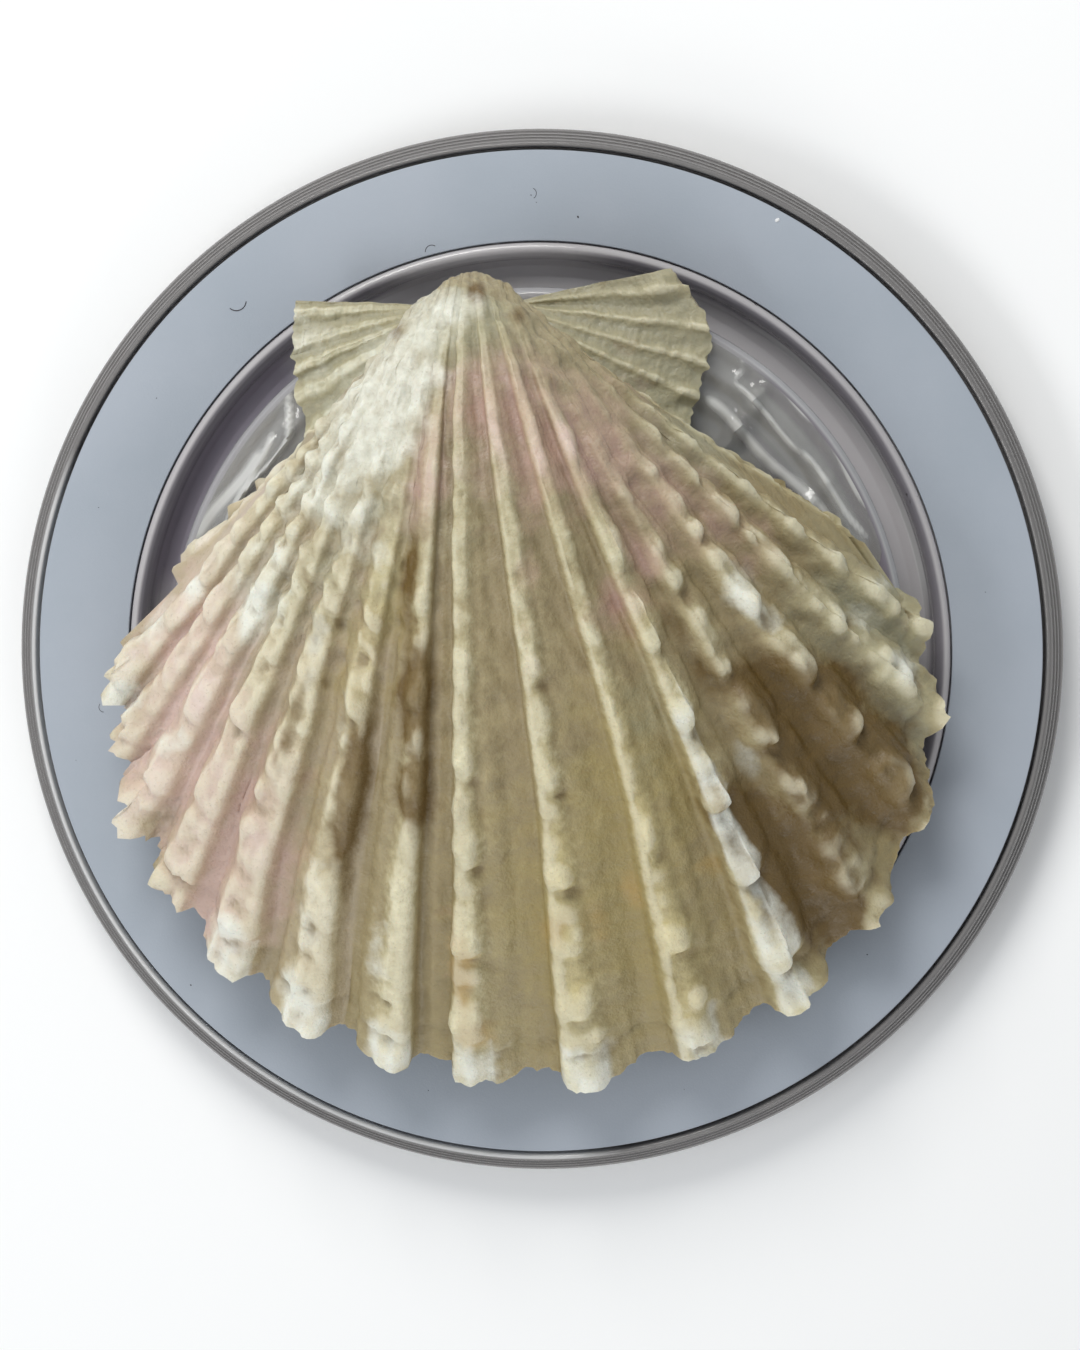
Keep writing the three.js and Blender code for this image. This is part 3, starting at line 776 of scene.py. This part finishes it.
# The left flank is much paler than the rest, and the other left ribs are somewhat, most at their lower ends.
pale_flank = np.maximum(flank * rise(growth, 0.4, 0.75), (0.35 + 0.3 * rise(growth, 0.72, 0.9)) * left)
shown_pores = over_pores * np.where(over_pores < 0, 0.15 + body, body)


def on_both_faces(outer_value, inner_value=0.0):
    """A value for each of the shell's points, from one for each point of its outer face."""
    outer_value = np.broadcast_to(outer_value, growth.shape[:1] + (columns,))
    inside_value = np.full(inner.shape[0] * columns, inner_value)
    return np.concatenate([outer_value.reshape(-1), inside_value, [0, 0]])


MARKS = {
    "stand": on_both_faces(0.4 + (stand - 0.4) * showing * (1 - 0.35 * on_ear), 0.4),
    "dabs": on_both_faces(dabs, 0.5),
    "pores": on_both_faces(shown_pores) * (1 - stains(BROWN)),
    "flank": on_both_faces(pale_flank),
    "dull": on_both_faces(0.8 * right * (rib != WHITE_RIB)),
    "grown": on_both_faces(growth, 0.5),
    "ear": on_both_faces(on_ear.astype(float)),
    "pink": stains(PINK),
    "brown": stains(BROWN),
    "yellow": stains(YELLOW),
    "white": np.maximum(stains(WHITE), on_both_faces(white_crest)),
    "green": stains(GREEN),
    "orange": stains(ORANGE),
}
for name, values in MARKS.items():
    layer = shell.data.attributes.new(name, "FLOAT", "POINT")
    layer.data.foreach_set("value", np.ascontiguousarray(values, np.float32))


def old_shell():
    """Chalky, stained shell: olive-brown grooves, cream ridges, worn tops, dark pores and growth lines."""
    finish, tree, surface, coords = new_finish("old_shell")
    mark = {name: wire(tree, "ShaderNodeAttribute", attribute_name=name).outputs["Fac"] for name in MARKS}
    blotch = speckle(tree, coords, 1.6, 4)
    mottle = speckle(tree, coords, 0.45, 4)
    grit = speckle(tree, coords, 0.16, 3)
    ragged = spread(tree, blotch, 0.3, 0.7, -0.22, 0.22)

    def over(factor, below, above):
        return mixed(tree, factor, below, above)

    def sums(operation, first, second):
        return reckoned(tree, operation, first, second)

    def patch(name, start=0.2, end=0.75, most=1.0):
        return spread(tree, sums("ADD", mark[name], ragged), start, end, 0, most)

    groove = over(spread(tree, blotch, 0.35, 0.65), paint(140, 125, 92), paint(156, 141, 106))
    groove = over(mark["flank"], groove, paint(205, 189, 174))
    # Painted light: towards the margin the grooves are painted lighter and yellower, and near the beak
    # darker, for how the light falls there.
    groove = over(spread(tree, mark["grown"], 0.6, 1.0, 0, 0.6), groove, paint(152, 138, 96))
    groove = over(spread(tree, mark["grown"], 0.22, 0.5, 0.85, 0), groove, paint(136, 124, 99))
    groove = over(mark["ear"], groove, paint(154, 149, 124))
    groove = over(patch("yellow", most=0.85), groove, paint(154, 138, 88))
    groove = over(patch("green", most=0.8), groove, paint(152, 149, 124))
    pink_groove = over(mark["flank"], paint(173, 143, 130), paint(210, 184, 174))
    groove = over(patch("pink", most=0.9), groove, pink_groove)

    ridge = over(spread(tree, mottle, 0.35, 0.65), paint(198, 190, 150), paint(227, 220, 184))
    ridge = over(mark["flank"], ridge, paint(227, 216, 205))
    ridge = over(mark["dull"], ridge, paint(182, 178, 153))
    # Painted shade: near the beak the ridges are painted duller.
    ridge = over(spread(tree, mark["grown"], 0.25, 0.55, 0.7, 0), ridge, paint(190, 184, 160))
    ridge = over(mark["ear"], ridge, paint(190, 187, 163))
    ridge = over(patch("yellow", most=0.75), ridge, paint(214, 197, 138))
    ridge = over(patch("green", most=0.7), ridge, paint(194, 195, 172))
    pink_ridge = over(mark["flank"], paint(214, 190, 180), paint(226, 205, 198))
    ridge = over(patch("pink", most=0.9), ridge, pink_ridge)
    ridge = over(patch("brown", 0.12, 0.55, 0.9), ridge, paint(134, 114, 74))

    # From the grooves up the slopes to the ridges; then the stains, the worn white, the pores and the grit.
    level = sums("ADD", mark["stand"], spread(tree, mottle, 0.3, 0.7, -0.14, 0.14))
    slope = over(0.45, groove, paint(196, 184, 142))
    colour = over(spread(tree, level, 0.1, 0.7), groove, slope)
    colour = over(patch("brown", 0.16, 0.58, 0.96), colour, paint(102, 80, 38))
    cleaned = sums("MULTIPLY", spread(tree, level, 0.4, 1.15), mark["dabs"])
    colour = over(cleaned, colour, ridge)
    colour = over(patch("orange", 0.2, 0.8, 0.7), colour, paint(176, 145, 84))
    colour = over(spread(tree, mark["pores"], 0.15, 0.6, 0, 0.4), colour, paint(229, 223, 198))
    chalk = sums("MULTIPLY", patch("white", 0.25, 0.7, 0.85), spread(tree, level, 0.0, 0.6, 0.3, 1))
    colour = over(chalk, colour, paint(232, 233, 222))
    colour = over(spread(tree, mark["pores"], -0.7, -0.15, 0.5, 0), colour, paint(120, 98, 62))
    colour = over(spread(tree, grit, 0.6, 0.74, 0, 0.25), colour, paint(124, 104, 72))
    tree.links.new(colour, surface.inputs["Base Color"])

    # Fine growth lines run across the ribs; blotches make them wander.
    turns = sums("ADD", sums("MULTIPLY", mark["grown"], 210.0), sums("MULTIPLY", blotch, 9.0))
    fine_lines = sums("MULTIPLY", reckoned(tree, "SINE", turns), 0.1)
    relief = sums("ADD", sums("MULTIPLY", mottle, 1.4), sums("ADD", grit, fine_lines))
    bump = wire(tree, "ShaderNodeBump", {"Strength": 0.4, "Distance": 0.00012, "Height": relief})
    tree.links.new(bump.outputs["Normal"], surface.inputs["Normal"])
    tree.links.new(spread(tree, mottle, 0.3, 0.7, 0.38, 0.62), surface.inputs["Roughness"])
    surface.inputs["Subsurface Weight"].default_value = 0.15
    surface.inputs["Subsurface Radius"].default_value = (1.0, 0.7, 0.45)
    surface.inputs["Subsurface Scale"].default_value = 0.001
    return finish


shell.data.materials.append(old_shell())
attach(shell, "root")
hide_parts("scallop_shell")

# ----------------------------------------------------------------------------
# Glue. Clear glue that was run out under the shell: a low mound that the shell sits on, which has spread over
# the plate in a thin, uneven sheet with drawn-out ridges.
# ----------------------------------------------------------------------------

GLUE_CENTRE = (-1.2, 2.0)
GLUE_TO_EDGE = 0.5  # the sheet stops this far inside the plate's edge
GLUE_LIFT = 0.02
MOUND_RADIUS = 12.0
MOUND_HEIGHT = 2.4
SHEET_REACH = 16.8
SHEET_THICKNESS = 0.16
# Strings of glue drawn out over the sheet: both ends, half width and height.
GLUE_STRINGS = [
    (-13.7, 15.0, -13.6, 11.4, 0.20, 0.5), (-13.2, 12.8, -19.4, 4.2, 0.14, 0.4),
    (-14.4, 12.6, -18.9, 3.4, 0.2, 0.22), (-12.6, 11.4, -17.8, 5.4, 0.12, 0.3),
    (-15.0, 11.6, -19.2, 6.0, 0.3, 0.18), (11.7, 17.2, 10.5, 14.8, 0.12, 0.35),
    (10.7, 15.3, 15.0, 10.9, 0.16, 0.2), (14.4, 11.6, 18.6, 6.2, 0.16, 0.2),
    (9.2, 14.5, 16.8, 7.0, 0.3, 0.15), (11.4, 17.3, 15.6, 12.6, 0.14, 0.2),
    (15.2, 13.2, 18.6, 7.8, 0.14, 0.2),
]


def glue_blob():
    """The mound and its sheet: rings of points from the middle out, once on top and once on the plate."""
    steps, rows = 360, 130
    bearing = np.linspace(0, 2 * math.pi, steps, endpoint=False)
    # The sheet's outline wavers, and it has run out furthest towards both sides of the hinge.
    reach_out = SHEET_REACH + 1.0 * np.sin(3 * bearing + 0.8) + 0.7 * np.sin(5 * bearing)
    reach_out = reach_out + 0.35 * np.sin(11 * bearing + 2)
    reach_out = reach_out + 3.6 * hump(bearing, 2.6, 0.42) + 5 * hump(bearing, 0.7, 0.6)
    off_centre = math.hypot(*GLUE_CENTRE)
    facing = GLUE_CENTRE[0] * np.cos(bearing) + GLUE_CENTRE[1] * np.sin(bearing)
    to_edge = np.sqrt(facing ** 2 + (PLATE_RADIUS - GLUE_TO_EDGE) ** 2 - off_centre ** 2) - facing
    reach_out = np.minimum(reach_out, to_edge)
    share = np.linspace(0, 1, rows)[1:, None] ** 0.85
    x = GLUE_CENTRE[0] + reach_out * share * np.cos(bearing)
    y = GLUE_CENTRE[1] + reach_out * share * np.sin(bearing)
    off = np.hypot(x - GLUE_CENTRE[0], y - GLUE_CENTRE[1])
    top = SHEET_THICKNESS + MOUND_HEIGHT * (1 - rise(off, MOUND_RADIUS - 3.5, MOUND_RADIUS + 0.5))
    along = 0.6 * x + 0.8 * y
    aside = 0.8 * x - 0.6 * y
    ridges = np.maximum(0, ripples(2.2, 31, aside + 0.05 * along)) ** 2
    top = top + 0.35 * ridges + 0.05 * ripples(1.2, 33, x, y)
    drawn = 0 * x
    for x0, y0, x1, y1, half_width, tall in GLUE_STRINGS:
        length = math.hypot(x1 - x0, y1 - y0)
        forward = ((x - x0) * (x1 - x0) + (y - y0) * (y1 - y0)) / length
        beside = ((x - x0) * (y1 - y0) - (y - y0) * (x1 - x0)) / length + 0.12 * np.sin(forward)
        inside = rise(forward, -0.3, 0.8) * (1 - rise(forward, length - 1.5, length))
        string = inside * np.exp(-(beside / half_width) ** 2)
        top = top + tall * string
        drawn = np.maximum(drawn, string)
    top = top * (1 - rise(share, 0.95, 1.0) * 0.85)
    floor = plate_top(np.hypot(x, y)) + GLUE_LIFT
    upper = np.stack([x, y, floor + top], -1).reshape(-1, 3)
    lower = np.stack([x, y, floor], -1).reshape(-1, 3)
    count = len(upper)
    crown, root = 2 * count, 2 * count + 1
    ground = float(plate_top(0)) + GLUE_LIFT
    middle = [(*GLUE_CENTRE, ground + SHEET_THICKNESS + MOUND_HEIGHT), (*GLUE_CENTRE, ground)]
    faces = []
    for i in range(steps):
        n = (i + 1) % steps
        faces.append((crown, i, n))
        faces.append((root, count + n, count + i))
        for j in range(rows - 2):
            a, b, c, d = j * steps + i, (j + 1) * steps + i, (j + 1) * steps + n, j * steps + n
            faces.append((a, b, c, d))
            faces.append((count + d, count + c, count + b, count + a))
        rim = (rows - 2) * steps
        faces.append((rim + i, count + rim + i, count + rim + n, rim + n))
    piece = new_piece("glue_mound", np.concatenate([upper, lower, middle]), faces, sharp_deg=60)
    stretched = np.concatenate([drawn.reshape(-1), 0 * drawn.reshape(-1), [0, 0]])
    layer = piece.data.attributes.new("drawn", "FLOAT", "POINT")
    layer.data.foreach_set("value", stretched.astype(np.float32))
    return piece


def drawn_glue():
    """Clear glue, whitened where it was drawn out into strings."""
    finish = clear_plastic("clear_glue", paint(236, 236, 233), 0.85, 3, 1.1)
    tree = finish.node_tree
    surface = tree.nodes["Principled BSDF"]
    drawn = wire(tree, "ShaderNodeAttribute", attribute_name="drawn").outputs["Fac"]
    tree.links.new(spread(tree, drawn, 0.1, 0.8, 0.85, 0.4), surface.inputs["Transmission Weight"])
    return finish


glue = glue_blob()
glue.data.materials.append(drawn_glue())
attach(glue, "root")
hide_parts("glue_plug")

# ----------------------------------------------------------------------------
# Floor, light and camera. A plain pale floor, a round window lamp beyond the hinge, a long low one on the
# left and a wide bounce from the front. The camera looks almost straight down from a little beyond the hinge.
# ----------------------------------------------------------------------------

CAMERA_DISTANCE = 0.22
CAMERA_TILT_DEG = 5.2
CAMERA_LEAN = (0.53, 0.85)  # which way the tilted camera lies, sideways and beyond the hinge
CAMERA_AIM = (0.1, -1.1)
LONG_SIDE_SEEN = 0.0753  # what the view's long side spans at the ring
FLOOR_DROP = 0.0002


def paint_floor():
    """A matt, near-white floor with faint wide clouds."""
    finish, tree, surface, coords = new_finish("pale_floor")
    cloud = speckle(tree, coords, 60, 2)
    shade = mixed(tree, cloud, (0.93, 0.93, 0.93, 1), (0.96, 0.96, 0.96, 1))
    tree.links.new(shade, surface.inputs["Base Color"])
    surface.inputs["Roughness"].default_value = 0.9
    return finish


bpy.ops.mesh.primitive_plane_add(size=3, location=(0, 0, -FLOOR_DROP))
ground = bpy.context.object
ground.name = "pale_floor"
ground.data.materials.append(paint_floor())


def lamp(name, place, wide, tall, watts, colour):
    """A soft oval lamp, turned to the middle of the base."""
    light = bpy.data.lights.new(name, "AREA")
    light.shape = "ELLIPSE"
    light.size = wide
    light.size_y = tall
    light.energy = watts
    light.color = colour
    holder = bpy.data.objects.new(name, light)
    holder.location = place
    holder.rotation_euler = (-Vector(place)).to_track_quat("-Z", "Y").to_euler()
    bpy.context.scene.collection.objects.link(holder)


lamp("window", (-0.065, 0.21, 0.2), 0.15, 0.15, 0.54, (1.0, 0.99, 0.96))
lamp("low_window", (-0.2, -0.12, 0.22), 0.24, 0.09, 0.3, (0.97, 0.99, 1.0))
lamp("bounce", (0.1, -0.5, 0.13), 0.4, 0.4, 0.9, (1.0, 0.98, 0.95))

world = bpy.data.worlds.new("room")
world.use_nodes = True
world.node_tree.nodes["Background"].inputs["Color"].default_value = (0.92, 0.96, 1.0, 1)
world.node_tree.nodes["Background"].inputs["Strength"].default_value = 0.42
bpy.context.scene.world = world
bpy.context.scene.view_settings.view_transform = "Standard"

lens = bpy.data.cameras.new("camera")
lens.sensor_width = 36
lens.lens = lens.sensor_width * CAMERA_DISTANCE / LONG_SIDE_SEEN
camera = bpy.data.objects.new("camera", lens)
bpy.context.scene.collection.objects.link(camera)
tilt = math.radians(CAMERA_TILT_DEG)
lean_side, lean_back = CAMERA_LEAN
towards = Vector((lean_side * math.sin(tilt), lean_back * math.sin(tilt), math.cos(tilt))).normalized()
aim_at = Vector((*CAMERA_AIM, RING_TOP)) * MM
camera_right = Vector((0, 1, 0)).cross(towards).normalized()
camera_up = towards.cross(camera_right)
camera_turn = Matrix((camera_right, camera_up, towards)).transposed().to_4x4()
camera.matrix_world = Matrix.Translation(aim_at + towards * CAMERA_DISTANCE) @ camera_turn
bpy.context.scene.camera = camera
